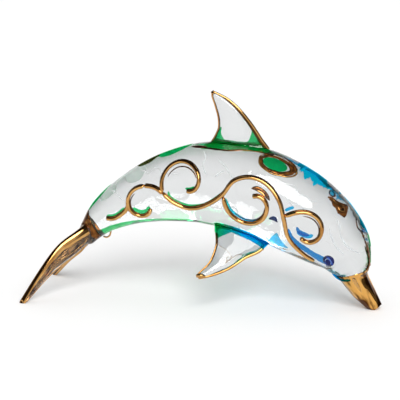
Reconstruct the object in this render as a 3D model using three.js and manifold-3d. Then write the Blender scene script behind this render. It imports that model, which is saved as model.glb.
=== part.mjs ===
import * as THREE from 'three';
import { mergeVertices } from 'three/addons/utils/BufferGeometryUtils.js';
import loadManifold from 'manifold-3d';

// A solid glass dolphin in a leaping arch. It stands on the end of its beak and on its two fluke tips.
// Lengths are millimetres. +X points to the beak, +Y is the animal's left and +Z is up.

// Driving sizes
const LENGTH = 140; // the forms below are shares of it, and the figurine is just under it along X
const BODY_WIDTH_RATIO = 0.95; // body width for each unit of its height
const TRAIL_WIDTH = 1.5; // gilded cane laid over the body in scrolls
const TRAIL_PROUD = 1.0; // height of the cane over the glass
const EYE_WIDTH = 4.6; // coloured bead on each side of the head
const EYE_PROUD = 1.1; // height of the bead over the glass
const SEAT_GAP = 0.3; // clearance under what is laid on the body
const FOOT_TRIM = 0.5; // depth ground off each tip, so that it stands on a flat
const DORSAL_THICKNESS = 6.0; // at the root of the fin
const FLIPPER_THICKNESS = 5.0; // at the root of a flipper
const FLUKE_THICKNESS = 5.4; // at the root of a fluke
const LEFT_FLUKE_DROP = 1.6; // the left fluke sags this much more at its middle

// Fineness of the surfaces
const BODY_RINGS = 40;
const BODY_SIDES = 24;
const LIMB_RINGS = 12;
const LIMB_SIDES = 14;
const TRAIL_SIDES = 6;
const TRAIL_STEP = 2.8;
const BEAD_SIDES = 14;

// The body's axis, from the tail stock to the beak: place along X, height, and half height of the body.
// These and the forms below are shares of LENGTH, measured from under the middle of the figurine.
const BODY_STATIONS = [
  [-0.353, 0.150, 0.024],
  [-0.324, 0.189, 0.035],
  [-0.285, 0.231, 0.051],
  [-0.215, 0.276, 0.070],
  [-0.102, 0.319, 0.097],
  [0.022, 0.337, 0.117],
  [0.151, 0.317, 0.123],
  [0.259, 0.269, 0.119],
  [0.340, 0.216, 0.103],
  [0.386, 0.170, 0.084],
  [0.409, 0.127, 0.061],
  [0.422, 0.090, 0.037],
  [0.444, 0.056, 0.030],
  [0.471, 0.021, 0.021],
  [0.484, 0.006, 0.016],
];

// The dorsal fin: height of a section, and the places of its back and front edges along X.
const DORSAL_STATIONS = [
  [0.405, -0.020, 0.205],
  [0.445, 0.009, 0.176],
  [0.465, 0.023, 0.160],
  [0.493, 0.036, 0.141],
  [0.522, 0.036, 0.119],
  [0.550, 0.029, 0.094],
  [0.575, 0.021, 0.063],
  [0.595, 0.016, 0.022],
];

// Flippers and flukes: a section's centre (along X, out from the middle, height) and its half chord.
const FLIPPER_STATIONS = [
  [0.119, 0.040, 0.232, 0.090],
  [0.106, 0.075, 0.192, 0.066],
  [0.092, 0.097, 0.171, 0.045],
  [0.063, 0.128, 0.136, 0.026],
  [0.013, 0.157, 0.108, 0.009],
];
const FLIPPER_CHORD = [0.93, 0, -0.36];
const FLUKE_STATIONS = [
  [-0.325, 0.006, 0.188, 0.030],
  [-0.360, 0.043, 0.157, 0.041],
  [-0.409, 0.082, 0.118, 0.044],
  [-0.450, 0.121, 0.064, 0.033],
  [-0.493, 0.157, -0.003, 0.013],
];
const FLUKE_CHORD = [-0.28, 0, -0.96];
const LIMB_TIP_THINNING = 0.45; // a limb's thickness at its tip, for each unit at its root

// The scroll trail as it shows from the side, along X and up. Its stem joins four volutes.
const TAIL_START = [[-0.272, 0.233], [-0.252, 0.233], [-0.231, 0.244], [-0.206, 0.269], [-0.204, 0.288]];
const TAIL_LINK = [[-0.100, 0.322], [-0.114, 0.332], [-0.131, 0.337], [-0.156, 0.337]];
const STEM = [
  [-0.101, 0.324],
  [-0.066, 0.297],
  [-0.024, 0.285],
  [0.021, 0.297],
  [0.072, 0.332],
  [0.102, 0.370],
  [0.145, 0.381],
  [0.192, 0.364],
  [0.228, 0.320],
  [0.241, 0.272],
  [0.254, 0.215],
  [0.291, 0.169],
  [0.320, 0.148],
];
// Each volute is a spiral: its centre, first and last radius, how the radius falls, first and last angle.
const VOLUTES = [
  { centre: [-0.163, 0.280], outer: 0.058, inner: 0.026, fall: 0.62, from: 82, to: 343 },
  { centre: [-0.034, 0.353], outer: 0.071, inner: 0.017, fall: 1.42, from: -156, to: -436 },
  { centre: [0.156, 0.311], outer: 0.083, inner: 0.019, fall: 0.87, from: 169, to: 452 },
  { centre: [0.303, 0.236], outer: 0.077, inner: 0.022, fall: 0.56, from: 144, to: -137 },
];
const EYE_PLACE = [0.359, 0.154];
// The left flank is plainer: its scroll is drawn smaller and nearer to the back, and its eye sits lower.
// These are shares of the body's half height.
const LEFT_SCROLL_RISE = 0.42;
const LEFT_SCROLL_SQUEEZE = 0.38;
const LEFT_EYE_DROP = 0.2;

const manifold = await loadManifold();
manifold.setup();

const clearGlass = new THREE.MeshStandardMaterial({ color: 0xdfe7e8, roughness: 0.03, metalness: 0 });
const gilding = new THREE.MeshStandardMaterial({ color: 0xc98a35, roughness: 0.18, metalness: 1 });
const eyeGlass = new THREE.MeshStandardMaterial({ color: 0x121c55, roughness: 0.05, metalness: 0 });

// Turns a share of the figurine's length into millimetres.
function sized(share) {
  return share * LENGTH;
}

// Turns a closed geometry into a solid that can be joined and cut.
function solidOf(geometry) {
  const bare = geometry.clone();
  bare.deleteAttribute('normal');
  bare.deleteAttribute('uv');
  const merged = mergeVertices(bare, 1e-4);
  return new manifold.Manifold(new manifold.Mesh({
    numProp: 3,
    vertProperties: new Float32Array(merged.attributes.position.array),
    triVerts: new Uint32Array(merged.index.array),
  }));
}

// Turns a solid back into a named mesh.
function meshOf(name, solid, material) {
  const raw = solid.getMesh();
  const geometry = new THREE.BufferGeometry();
  geometry.setAttribute('position', new THREE.BufferAttribute(new Float32Array(raw.vertProperties), 3));
  geometry.setIndex(new THREE.BufferAttribute(new Uint32Array(raw.triVerts), 1));
  geometry.computeVertexNormals();
  const mesh = new THREE.Mesh(geometry, material);
  mesh.name = name;
  return mesh;
}

// A turned capsule of unit radius, whose rings are then moved and stretched onto a curve.
function ringedSolid({ axis, halves, across, rings, sides }) {
  const profile = [new THREE.Vector2(0, 0)];
  for (let i = 1; i < rings; i += 1) profile.push(new THREE.Vector2(1, i));
  profile.push(new THREE.Vector2(0, rings));
  const geometry = new THREE.LatheGeometry(profile, sides);
  const place = geometry.attributes.position;
  for (let i = 0; i < place.count; i += 1) {
    const along = place.getY(i) / rings;
    const tangent = axis.getTangent(along);
    const first = across(tangent).normalize();
    const second = new THREE.Vector3().crossVectors(tangent, first).normalize();
    const half = halves.getPoint(along);
    const point = axis.getPoint(along);
    point.addScaledVector(first, place.getZ(i) * half.x);
    point.addScaledVector(second, place.getX(i) * half.y);
    place.setXYZ(i, point.x, point.y, point.z);
  }
  return solidOf(geometry);
}

const bodyAxis = new THREE.CatmullRomCurve3(
  BODY_STATIONS.map(([x, z]) => new THREE.Vector3(sized(x), 0, sized(z))),
);

const halfHeights = new THREE.CatmullRomCurve3(
  BODY_STATIONS.map(([, , half]) => new THREE.Vector3(sized(half), 0, 0)),
);

// The body is round in section. Growing it leaves the clearance under what is laid on it.
function bodySolid(growth) {
  const halves = new THREE.CatmullRomCurve3(BODY_STATIONS.map(([, , half]) => new THREE.Vector3(
    sized(half) + growth,
    sized(half) * BODY_WIDTH_RATIO + growth,
    0,
  )));
  const across = (tangent) => new THREE.Vector3(-tangent.z, 0, tangent.x);
  return ringedSolid({ axis: bodyAxis, halves, across, rings: BODY_RINGS, sides: BODY_SIDES });
}

// Half thickness of a limb at a share of its span.
function halfThickness(rootThickness, share) {
  return (rootThickness / 2) * (1 + (LIMB_TIP_THINNING - 1) * share);
}

function dorsalFin() {
  const last = DORSAL_STATIONS.length - 1;
  const axis = new THREE.CatmullRomCurve3(DORSAL_STATIONS.map(
    ([z, back, front]) => new THREE.Vector3(sized((back + front) / 2), 0, sized(z)),
  ));
  const halves = new THREE.CatmullRomCurve3(DORSAL_STATIONS.map(
    ([, back, front], i) => new THREE.Vector3(
      sized((front - back) / 2),
      halfThickness(DORSAL_THICKNESS, i / last),
      0,
    ),
  ));
  return ringedSolid({ axis, halves, across: () => new THREE.Vector3(1, 0, 0), rings: LIMB_RINGS, sides: LIMB_SIDES });
}

// A flipper or a fluke. Side is 1 on the animal's left and -1 on its right.
function sideLimb({ stations, chord, thickness, side, drop }) {
  const last = stations.length - 1;
  const axis = new THREE.CatmullRomCurve3(stations.map(([x, y, z], i) => new THREE.Vector3(
    sized(x),
    side * sized(y),
    sized(z) - drop * Math.sin((Math.PI * i) / last),
  )));
  const halves = new THREE.CatmullRomCurve3(stations.map(([, , , half], i) => new THREE.Vector3(
    sized(half),
    halfThickness(thickness, i / last),
    0,
  )));
  const across = () => new THREE.Vector3(...chord);
  return ringedSolid({ axis, halves, across, rings: LIMB_RINGS, sides: LIMB_SIDES });
}

// The nearest share of the body's axis to a place seen from the side, and its rise: 0 on the axis and 1
// on the back's outline.
function flankPlace(x, z) {
  let nearest = { gap: Infinity, along: 0 };
  const samples = BODY_RINGS * 8;
  for (let i = 0; i <= samples; i += 1) {
    const point = bodyAxis.getPoint(i / samples);
    const gap = Math.hypot(point.x - x, point.z - z);
    if (gap < nearest.gap) nearest = { gap, along: i / samples };
  }
  const centre = bodyAxis.getPoint(nearest.along);
  const tangent = bodyAxis.getTangent(nearest.along);
  const over = (z - centre.z) * tangent.x - (x - centre.x) * tangent.z;
  return { along: nearest.along, rise: over / halfHeights.getPoint(nearest.along).x };
}

// A point on one flank, moved out from the glass by a height.
function onBody({ along, rise }, side, height) {
  const half = halfHeights.getPoint(along).x;
  const tangent = bodyAxis.getTangent(along);
  const up = new THREE.Vector3(-tangent.z, 0, tangent.x);
  const level = THREE.MathUtils.clamp(rise, -0.98, 0.98);
  const out = Math.sqrt(1 - level * level);
  const surface = bodyAxis.getPoint(along).addScaledVector(up, level * half);
  surface.y = side * half * BODY_WIDTH_RATIO * out;
  const normal = up.multiplyScalar(level);
  normal.y = (side * out) / BODY_WIDTH_RATIO;
  return surface.addScaledVector(normal.normalize(), height);
}

// A round cane along points seen from the side, laid on one flank.
function cane(points, side) {
  const height = TRAIL_PROUD - TRAIL_WIDTH / 2 + SEAT_GAP;
  const flank = points.map(([x, z]) => {
    const place = flankPlace(sized(x), sized(z));
    if (side > 0) place.rise = LEFT_SCROLL_RISE + LEFT_SCROLL_SQUEEZE * place.rise;
    return onBody(place, side, height);
  });
  const path = new THREE.CatmullRomCurve3(flank);
  const section = new THREE.Shape().absarc(0, 0, TRAIL_WIDTH / 2, 0, 2 * Math.PI);
  const tube = new THREE.ExtrudeGeometry(section, {
    steps: Math.ceil(path.getLength() / TRAIL_STEP),
    curveSegments: TRAIL_SIDES / 2,
    extrudePath: path,
    bevelEnabled: false,
  });
  const bead = new THREE.SphereGeometry(TRAIL_WIDTH * 0.55, TRAIL_SIDES, TRAIL_SIDES - 2);
  const end = flank[flank.length - 1];
  bead.translate(end.x, end.y, end.z);
  return solidOf(tube).add(solidOf(bead));
}

function volutePoints({ centre, outer, inner, fall, from, to }) {
  const count = 16;
  const points = [];
  for (let i = 0; i <= count; i += 1) {
    const share = i / count;
    const radius = outer + (inner - outer) * share ** fall;
    const angle = THREE.MathUtils.degToRad(from + (to - from) * share);
    points.push([centre[0] + radius * Math.cos(angle), centre[1] + radius * Math.sin(angle)]);
  }
  return points;
}

function scrollTrail(side, grownBody) {
  const lines = [TAIL_START, TAIL_LINK, STEM, ...VOLUTES.map(volutePoints)];
  const joined = lines.map((points) => cane(points, side)).reduce((sum, next) => sum.add(next));
  return joined.subtract(grownBody);
}

function eyeBead(side, grownBody) {
  const radius = ((EYE_WIDTH / 2) ** 2 + EYE_PROUD ** 2) / (2 * EYE_PROUD);
  const bead = new THREE.SphereGeometry(radius, BEAD_SIDES, BEAD_SIDES / 2);
  const place = flankPlace(sized(EYE_PLACE[0]), sized(EYE_PLACE[1]));
  if (side > 0) place.rise -= LEFT_EYE_DROP;
  const centre = onBody(place, side, SEAT_GAP + EYE_PROUD - radius);
  bead.translate(centre.x, centre.y, centre.z);
  return solidOf(bead).subtract(grownBody);
}

// Body, fins, flippers and flukes are one fused piece of clear glass, ground flat where it stands.
function glassSolid() {
  let glass = bodySolid(0).add(dorsalFin());
  for (const side of [-1, 1]) {
    glass = glass.add(sideLimb({
      stations: FLIPPER_STATIONS, chord: FLIPPER_CHORD, thickness: FLIPPER_THICKNESS, side, drop: 0,
    }));
    glass = glass.add(sideLimb({
      stations: FLUKE_STATIONS,
      chord: FLUKE_CHORD,
      thickness: FLUKE_THICKNESS,
      side,
      drop: side > 0 ? LEFT_FLUKE_DROP : 0,
    }));
  }
  const ground = new THREE.BoxGeometry(2 * LENGTH, LENGTH, LENGTH);
  ground.translate(0, 0, FOOT_TRIM - LENGTH / 2);
  return glass.subtract(solidOf(ground));
}

const dolphin = new THREE.Group();
const grownBody = bodySolid(SEAT_GAP);
dolphin.add(meshOf('glass_body', glassSolid(), clearGlass));
dolphin.add(meshOf('scroll_trail_left', scrollTrail(1, grownBody), gilding));
dolphin.add(meshOf('scroll_trail_right', scrollTrail(-1, grownBody), gilding));
dolphin.add(meshOf('eye_left', eyeBead(1, grownBody), eyeGlass));
dolphin.add(meshOf('eye_right', eyeBead(-1, grownBody), eyeGlass));

// The origin is under the middle of the figurine, on the surface that it stands on.
const extent = new THREE.Box3().setFromObject(dolphin);
const middle = extent.getCenter(new THREE.Vector3());
dolphin.position.set(-middle.x, -middle.y, -extent.min.z);
dolphin.updateMatrixWorld(true);

export default dolphin;
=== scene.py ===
import logging
import math
from dataclasses import dataclass, field
from enum import Enum
from typing import Callable, Iterable, Optional, Sequence, Union

import bmesh
import bpy
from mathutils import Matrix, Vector, noise


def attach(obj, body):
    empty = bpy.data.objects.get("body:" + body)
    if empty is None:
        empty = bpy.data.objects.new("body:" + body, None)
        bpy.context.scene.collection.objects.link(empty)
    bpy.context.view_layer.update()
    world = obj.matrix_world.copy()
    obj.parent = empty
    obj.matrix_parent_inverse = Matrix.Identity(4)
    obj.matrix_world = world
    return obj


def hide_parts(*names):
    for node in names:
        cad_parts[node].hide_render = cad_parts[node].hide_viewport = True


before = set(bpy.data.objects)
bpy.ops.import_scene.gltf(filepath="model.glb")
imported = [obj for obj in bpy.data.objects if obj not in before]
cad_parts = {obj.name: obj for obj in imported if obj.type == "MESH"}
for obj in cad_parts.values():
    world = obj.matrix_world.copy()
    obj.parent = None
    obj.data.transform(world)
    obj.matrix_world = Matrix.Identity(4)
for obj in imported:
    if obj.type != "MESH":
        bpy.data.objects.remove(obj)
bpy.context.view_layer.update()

# A solid clear glass dolphin, drawn and pressed hot, with gilded rims, gilded scroll trails on both flanks
# and green and blue glass sealed in it. The places below are shares of LENGTH, as in the solid model.

LOG = logging.getLogger("glass_dolphin")
MM = 0.001
LENGTH = 140 * MM
BODY_WIDTH_RATIO = 0.95
FOOT_TRIM = 0.5 * MM
CENTRING = Vector((-0.112 * MM, 0, -FOOT_TRIM))  # puts the middle of the box over the origin
ON_SKIN = -0.04 * MM  # the depth of a sheet that lies on the glass
LEFT, RIGHT = 1, -1
LEFT_SCROLL_RISE = 0.42  # the left flank's scroll is smaller and nearer to the back
LEFT_SCROLL_SQUEEZE = 0.38
LEFT_EYE_DROP = 0.2

Pair = tuple[float, float]
Triple = tuple[float, float, float]
Tint = tuple[float, float, float, float]
Place = tuple[Vector, Vector]  # a point and the direction out of the glass there
Plug = bpy.types.NodeSocket
Value = Union[float, Triple, Tint, Plug]


class Slot(Enum):
    """The record's material slots."""

    CLEAR = "clear_glass"
    COLOUR = "colour_glass"
    GILDING = "gilding"
    EYE = "eye_glass"


@dataclass(frozen=True)
class Look:
    """A finish that has been made, with the record's slot that it belongs to."""

    material: bpy.types.Material
    slot: Slot


# Measures and curves


def sized(share: float) -> float:
    """Turns a share of the figurine's length into metres."""
    return share * LENGTH


def sided(name: str, side: int) -> str:
    """A name that ends with the word for its side."""
    return f"{name}_left" if side == LEFT else f"{name}_right"


def between(start: float, end: float, share: float) -> float:
    """The value at a share of the way from a start to an end."""
    return start + (end - start) * share


def sway(amount: float, x: float, y: float, z: float) -> float:
    """Smooth noise at a place, up to an amount both ways."""
    return amount * noise.noise(Vector((x, y, z)))


def catmull(points: Sequence[Vector], along: float) -> Vector:
    """A point on the centripetal curve through some points.

    Args:
        points: the points that the curve passes.
        along: 0 at the first point and 1 at the last.

    Returns:
        The point on the curve.
    """
    spans = len(points) - 1
    index = min(int(along * spans), spans - 1)
    part = along * spans - index
    start, end = points[index], points[index + 1]
    before = points[index - 1] if index > 0 else start * 2 - end
    after = points[index + 2] if index + 2 <= spans else end * 2 - start
    gaps = [max((b - a).length, 1e-9) ** 0.5 for a, b in ((before, start), (start, end), (end, after))]
    leave = (start - before) / gaps[0] - (end - before) / (gaps[0] + gaps[1]) + (end - start) / gaps[1]
    arrive = (end - start) / gaps[1] - (after - start) / (gaps[1] + gaps[2]) + (after - end) / gaps[2]
    leave, arrive = leave * gaps[1], arrive * gaps[1]
    square, cube = part * part, part * part * part
    return (
        start * (2 * cube - 3 * square + 1)
        + leave * (cube - 2 * square + part)
        + end * (3 * square - 2 * cube)
        + arrive * (cube - square)
    )


def curve(points: Sequence[Vector], steps: int) -> list[Vector]:
    """Places at even steps on the curve through some points."""
    return [catmull(points, i / steps) for i in range(steps + 1)]


@dataclass
class Ring:
    """One elliptical section: its centre, its two unit directions and its half widths along them."""

    centre: Vector
    first: Vector
    second: Vector
    half_first: float
    half_second: float

    def point(self, angle: float, lift: float = 0.0) -> Vector:
        """The place on the section at an angle from the first direction, moved out by a lift."""
        out = self.first * (math.cos(angle) * (self.half_first + lift))
        return self.centre + out + self.second * (math.sin(angle) * (self.half_second + lift))


@dataclass
class Form:
    """A form of elliptical sections on a curve, given by stations.

    Fields:
        axis: the stations' centres.
        halves: the stations' half widths.
        chord: the first direction of every section, or None where it turns with the axis.
    """

    axis: list[Vector]
    halves: list[Pair]
    chord: Optional[Vector] = None

    def ring(self, along: float) -> Ring:
        """The section at a share of the form's axis."""
        step = 1e-4
        low, high = max(along - step, 0.0), min(along + step, 1.0)
        tangent = (catmull(self.axis, high) - catmull(self.axis, low)).normalized()
        first = self.chord.normalized() if self.chord else Vector((-tangent.z, 0, tangent.x)).normalized()
        half = catmull([Vector((a, b, 0)) for a, b in self.halves], along)
        second = tangent.cross(first).normalized()
        return Ring(catmull(self.axis, along) + CENTRING, first, second, half.x, half.y)

    def rings(self, count: int, start: float = 0.0, rounding: float = 0.0, lift: float = 0.0) -> list[Ring]:
        """Sections at even steps, up to the end of the axis.

        Args:
            count: how many.
            start: share of the axis where they start.
            rounding: share of the run over which each end is rounded off.
            lift: how far they are moved out after that.

        Returns:
            The sections in order.
        """
        found = []
        for i in range(count):
            share = i / (count - 1)
            ring = self.ring(between(start, 1.0, share))
            scale = end_taper(share, rounding)
            ring.half_first = ring.half_first * scale + lift
            ring.half_second = ring.half_second * scale + lift
            found.append(ring)
        return found


def end_taper(share: float, rounding: float) -> float:
    """How much of its width a form keeps at a share of its run, where both ends are rounded off."""
    least = 0.02
    edge = min(share, 1 - share)
    if edge >= rounding:
        return 1.0
    return math.sqrt(max(1 - (1 - edge / rounding) ** 2, least))


def strand(places: Sequence[Place], half_out: float, half_across: Sequence[float],
           rounding: float) -> list[Ring]:
    """The sections of a cane that lies along some places.

    Args:
        places: the cane's middle points and the directions out of the glass.
        half_out: its half thickness.
        half_across: its half width at each place.
        rounding: share of its run over which each end is rounded off.

    Returns:
        The sections.
    """
    last = len(places) - 1
    found = []
    for i, (point, normal) in enumerate(places):
        tangent = (places[min(i + 1, last)][0] - places[max(i - 1, 0)][0]).normalized()
        scale = end_taper(i / last, rounding)
        across = tangent.cross(normal).normalized()
        out = across.cross(tangent).normalized()
        found.append(Ring(point, out, across, half_out * scale, half_across[i] * scale))
    return found


# Meshes and pieces


def closed_form(mesh: bmesh.types.BMesh, rings: Sequence[Ring], sides: int) -> None:
    """Adds a closed form to a mesh: a sphere whose parallels are moved onto rings.

    Args:
        mesh: the mesh that it is added to.
        rings: the sections from one end to the other.
        sides: points round each section.
    """
    rows = len(rings) + 1
    made = bmesh.ops.create_uvsphere(mesh, u_segments=sides, v_segments=rows, radius=1.0)
    for vert in made["verts"]:
        row = rows - round(math.acos(max(-1.0, min(1.0, vert.co.z))) / math.pi * rows)
        angle = math.atan2(vert.co.y, vert.co.x)
        if row <= 0:
            vert.co = rings[0].centre.copy()
        elif row >= rows:
            vert.co = rings[-1].centre.copy()
        else:
            vert.co = rings[row - 1].point(angle)


def mesh_data(name: str, mesh: bmesh.types.BMesh) -> bpy.types.Mesh:
    """Turns a worked mesh into one that an object can hold, and frees it."""
    data = bpy.data.meshes.new(name)
    mesh.to_mesh(data)
    mesh.free()
    return data


def in_scene(name: str, data: bpy.types.ID) -> bpy.types.Object:
    """Puts an object that holds some data in the scene."""
    made = bpy.data.objects.new(name, data)
    bpy.context.scene.collection.objects.link(made)
    return made


def finished(name: str, mesh: bmesh.types.BMesh, look: Look, replaced: Iterable[str] = ()) -> None:
    """Makes a piece of a mesh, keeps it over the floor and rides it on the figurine.

    Args:
        name: the piece's name.
        mesh: its mesh, which is freed.
        look: its finish.
        replaced: the solid model's nodes that it stands for.
    """
    for vert in mesh.verts:
        vert.co.z = max(vert.co.z, 0.0)
    bmesh.ops.recalc_face_normals(mesh, faces=mesh.faces)
    data = mesh_data(name, mesh)
    data.polygons.foreach_set("use_smooth", [True] * len(data.polygons))
    data.materials.append(look.material)
    piece = in_scene(name, data)
    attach(piece, "root")
    if replaced:
        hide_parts(*replaced)
    LOG.info("%s has %d faces", name, len(data.polygons))


def canes(name: str, runs: Iterable[Sequence[Ring]], sides: int, look: Look) -> None:
    """Makes one piece of closed forms.

    Args:
        name: the piece's name.
        runs: the sections of each form.
        sides: points round each section.
        look: its finish.
    """
    mesh = bmesh.new()
    for rings in runs:
        closed_form(mesh, rings, sides)
    finished(name, mesh, look)


def film(name: str, rows: int, columns: int, place: Callable[[float, float], Vector], depth: float,
         look: Look) -> None:
    """Makes a thin closed sheet: a grid laid on a surface and given a thickness.

    Args:
        name: the piece's name.
        rows: faces along it.
        columns: faces across it.
        place: gives the point at a share along and a share across.
        depth: its thickness.
        look: its finish.
    """
    mesh = bmesh.new()
    made = bmesh.ops.create_grid(mesh, x_segments=columns, y_segments=rows, size=0.5)
    for vert in made["verts"]:
        vert.co = place(vert.co.y + 0.5, vert.co.x + 0.5)
    bmesh.ops.recalc_face_normals(mesh, faces=mesh.faces)
    bmesh.ops.solidify(mesh, geom=list(mesh.faces), thickness=depth)
    finished(name, mesh, look)


# Finishes


class Nodes:
    """Lays out the nodes of one tree."""

    def __init__(self, tree: bpy.types.NodeTree) -> None:
        """Takes the tree."""
        self.tree = tree

    def fill(self, socket: Plug, value: Value) -> None:
        """Links a socket to another one, or sets a plain value on it."""
        if isinstance(value, bpy.types.NodeSocket):
            self.tree.links.new(value, socket)
        else:
            socket.default_value = value

    def add(self, kind: str, sockets: dict[Union[str, int], Value], **settings: object) -> bpy.types.Node:
        """Adds a node.

        Args:
            kind: its type, without the word that all shader nodes start with.
            sockets: what goes into its sockets, by name or number.
            settings: its other properties.

        Returns:
            The node.
        """
        node = self.tree.nodes.new(f"ShaderNode{kind}")
        for key, value in settings.items():
            setattr(node, key, value)
        for key, value in sockets.items():
            self.fill(node.inputs[key], value)
        return node

    def place(self) -> Plug:
        """The piece's own coordinates."""
        return self.add("TexCoord", {}).outputs["Object"]

    def maths(self, operation: str, *values: Value) -> Plug:
        """One sum on one or two values."""
        return self.add("Math", dict(enumerate(values)), operation=operation).outputs[0]

    def spread(self, value: Value, low: Value, high: Value, first: float = 0.0, last: float = 1.0,
               shape: str = "LINEAR") -> Plug:
        """Stretches the part of a value between two levels.

        Args:
            value: the value.
            low: the level that becomes the first result.
            high: the level that becomes the last result.
            first: the first result.
            last: the last result.
            shape: how it runs between them.

        Returns:
            The result's socket.
        """
        sockets = {"Value": value, "From Min": low, "From Max": high, "To Min": first, "To Max": last}
        return self.add("MapRange", sockets, interpolation_type=shape).outputs["Result"]

    def mixed(self, factor: Value, first: Tint, second: Tint) -> Plug:
        """One colour that turns to another with a factor."""
        sockets = {"Factor": factor, "A": first, "B": second}
        return self.add("Mix", sockets, data_type="RGBA").outputs["Result"]

    def soft_noise(self, place: Plug, scale: float, detail: float, low: float = 0.0,
                   high: float = 1.0) -> Plug:
        """The shared soft noise, placed with its own values.

        Args:
            place: the coordinates.
            scale: waves for each metre.
            detail: how much finer noise is in it.
            low: the level that becomes 0.
            high: the level that becomes 1.

        Returns:
            The noise's socket.
        """
        sockets = {"Place": place, "Scale": scale, "Detail": detail, "Low": low, "High": high}
        return self.add("Group", sockets, node_tree=soft_noise_group()).outputs["Level"]


def soft_noise_group() -> bpy.types.NodeTree:
    """The node group that the clear glass and every gilding share: noise with a part of its range stretched.

    Returns:
        The group, which is built once.
    """
    name = "soft_noise"
    if name in bpy.data.node_groups:
        return bpy.data.node_groups[name]
    group = bpy.data.node_groups.new(name, "ShaderNodeTree")
    group.interface.new_socket("Place", in_out="INPUT", socket_type="NodeSocketVector")
    for word in ("Scale", "Detail", "Low", "High"):
        group.interface.new_socket(word, in_out="INPUT", socket_type="NodeSocketFloat")
    group.interface.new_socket("Level", in_out="OUTPUT", socket_type="NodeSocketFloat")
    nodes = Nodes(group)
    given = group.nodes.new("NodeGroupInput").outputs
    sockets = {"Vector": given["Place"], "Scale": given["Scale"], "Detail": given["Detail"]}
    waves = nodes.add("TexNoise", sockets).outputs["Fac"]
    level = nodes.spread(waves, given["Low"], given["High"])
    nodes.fill(group.nodes.new("NodeGroupOutput").inputs["Level"], level)
    return group


class MaterialNodes(Nodes):
    """The nodes of one material, round its Principled shader."""

    def __init__(self, name: str, **values: Value) -> None:
        """Starts the material, with plain values on its shader."""
        self.material = bpy.data.materials.new(name)
        self.material.use_nodes = True
        super().__init__(self.material.node_tree)
        self.feed(**values)

    def feed(self, **values: Value) -> None:
        """Fills the shader's sockets, with underscores for the spaces in their names."""
        for key, value in values.items():
            self.fill(self.tree.nodes["Principled BSDF"].inputs[key.replace("_", " ")], value)


@dataclass(frozen=True)
class ClearGlass:
    """Fire-polished borosilicate glass, with the soft waves and the fine lines that drawing leaves in it.

    Fields:
        tint: its colour.
        index: its index of refraction.
        wave_scale: waves for each metre.
        wave_height: the waves' height.
        wave_strength: how strongly they turn the light.
        line_scale: lines for each metre, where the noise crosses its middle.
        line_height: the lines' height.
        line_width: their half width, as a part of the noise's range.
    """

    tint: Tint = (0.76, 0.772, 0.775, 1)
    index: float = 1.47
    wave_scale: float = 95.0
    wave_height: float = 0.6 * MM
    wave_strength: float = 0.35
    line_scale: float = 55.0
    line_height: float = 0.07 * MM
    line_width: float = 0.05

    def look(self) -> Look:
        """Builds the finish."""
        nodes = MaterialNodes(
            "clear_glass", Base_Color=self.tint, Roughness=0.0, IOR=self.index, Transmission_Weight=1.0)
        place = nodes.place()
        waves = nodes.add("Bump", {
            "Strength": self.wave_strength,
            "Distance": self.wave_height,
            "Height": nodes.soft_noise(place, self.wave_scale, 2.0),
        })
        level = nodes.soft_noise(place, self.line_scale, 1.0)
        off_middle = nodes.maths("ABSOLUTE", nodes.maths("SUBTRACT", level, 0.5))
        lines = nodes.add("Bump", {
            "Strength": 1.0,
            "Distance": self.line_height,
            "Height": nodes.spread(off_middle, 0.0, self.line_width, 1.0, 0.0, "SMOOTHSTEP"),
            "Normal": waves.outputs["Normal"],
        })
        nodes.feed(Normal=lines.outputs["Normal"])
        return Look(nodes.material, Slot.CLEAR)


@dataclass(frozen=True)
class SealedColour:
    """Coloured glass sealed in the clear glass, so that light runs straight through its faces.

    Fields:
        name: the finish's name.
        tint: its colour, or its colour towards the tail where it turns along the body.
        head_tint: its colour towards the head, or None where it doesn't turn.
        turn: the places along X where it starts to turn and where it has turned.
    """

    name: str
    tint: Tint
    head_tint: Optional[Tint] = None
    turn: Pair = (7 * MM, 17 * MM)

    def look(self) -> Look:
        """Builds the finish."""
        nodes = MaterialNodes(
            self.name, Base_Color=self.tint, Roughness=0.0, IOR=1.0, Transmission_Weight=1.0)
        if self.head_tint:
            along = nodes.add("SeparateXYZ", {0: nodes.place()}).outputs["X"]
            nodes.feed(Base_Color=nodes.mixed(nodes.spread(along, *self.turn), self.tint, self.head_tint))
        return Look(nodes.material, Slot.COLOUR)


@dataclass(frozen=True)
class Gilding:
    """Burnished gold fired on the glass, thinner and redder in places. On the beak its dark streaks are
    painted reflections, and the dark fired finish also serves as painted shade.

    Fields:
        name: the finish's name.
        bright: its colour where it is thick.
        deep: its colour where it is thin; on the beak, the dark of its painted reflections.
        scale: changes for each metre.
        shine: roughness where it is best burnished.
        dull: roughness where it is worst burnished.
        stretch: how many times longer the changes are in the direction of the lean.
        lean: that direction's angle from the X axis in degrees, down towards the beak.
        low: the noise level up to which it is thick.
        high: the noise level from which it is thin.
    """

    name: str = "gilding"
    bright: Tint = (0.74, 0.43, 0.155, 1)
    deep: Tint = (0.36, 0.16, 0.04, 1)
    scale: float = 120.0
    shine: float = 0.05
    dull: float = 0.13
    stretch: float = 1.0
    lean: float = 0.0
    low: float = 0.3
    high: float = 0.7

    def look(self) -> Look:
        """Builds the finish."""
        nodes = MaterialNodes(self.name, Metallic=1.0)
        turned = nodes.add("Mapping", {"Vector": nodes.place(), "Rotation": (0, -math.radians(self.lean), 0)})
        drawn = nodes.add("Mapping", {"Vector": turned.outputs["Vector"], "Scale": (1 / self.stretch, 1, 1)})
        thinning = nodes.soft_noise(drawn.outputs["Vector"], self.scale, 3.0, self.low, self.high)
        nodes.feed(
            Base_Color=nodes.mixed(thinning, self.bright, self.deep),
            Roughness=nodes.spread(thinning, 0.0, 1.0, self.shine, self.dull),
        )
        return Look(nodes.material, Slot.GILDING)


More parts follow.
